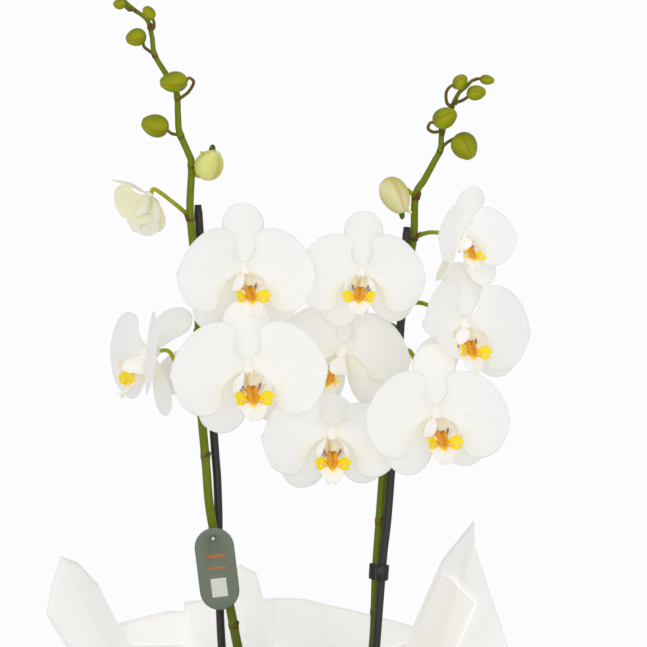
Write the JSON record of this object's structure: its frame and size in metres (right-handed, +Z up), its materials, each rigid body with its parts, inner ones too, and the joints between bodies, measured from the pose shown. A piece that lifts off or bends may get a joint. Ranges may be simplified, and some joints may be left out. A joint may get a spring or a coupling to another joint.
{
  "type": "potted orchid",
  "caption": "White moth orchid on two staked flower spikes, in a pot of bark wrapped in pale paper and fleece gathered by a band.",
  "frame": {"origin": "middle of the flat underside the wrapped pot stands on", "axes": "+Z up along the pot, the blooms face -Y, +X to the right of someone who faces the blooms"},
  "size_m": [0.3266, 0.2685, 0.6375],
  "materials": {
    "petal": "satin white petals, faintly warm in the folds",
    "lip": "satin yellow lip with an orange, spotted middle",
    "stem": "satin green stem and buds",
    "bud": "satin pale green bud",
    "crown": "matte grey-green crown and roots",
    "leaf": "semi-gloss thick green leaf",
    "bark": "rough brown bark chips",
    "pot": "matte white plastic",
    "stake": "matte black plastic",
    "clip": "semi-gloss black plastic",
    "tag": "matte grey-green card-like plastic",
    "thread": "thin white thread",
    "paper": "thin, slightly see-through white paper",
    "fleece": "white pressed fleece with fine ribs",
    "band": "cream cloth band"
  },
  "bodies": {
    "root": {"bloom_a": "petal", "lip_a": "lip", "bloom_b": "petal", "lip_b": "lip", "bloom_c": "petal", "lip_c": "lip", "bloom_d": "petal", "lip_d": "lip", "bloom_e": "petal", "lip_e": "lip", "bloom_f": "petal", "lip_f": "lip", "bloom_g": "petal", "lip_g": "lip", "bloom_h": "petal", "lip_h": "lip", "bloom_i": "petal", "lip_i": "lip", "bloom_j": "petal", "lip_j": "lip", "bloom_k": "petal", "lip_k": "lip", "spike_left": "stem", "spike_right": "stem", "bud_pale_left": "bud", "bud_pale_right": "bud", "stake_left": "stake", "stake_right": "stake", "clip_left": "clip", "clip_right": "clip", "tag": "tag", "tag_tie": "thread", "pot": "pot", "crown": "crown", "bark_mix": "bark", "wrap_paper": "paper", "wrap_fleece": "fleece", "wrap_band": "band", "leaf_1": "leaf", "leaf_2": "leaf", "leaf_3": "leaf", "leaf_4": "leaf", "leaf_5": "leaf", "leaf_6": "leaf"}
  },
  "joints": []
}
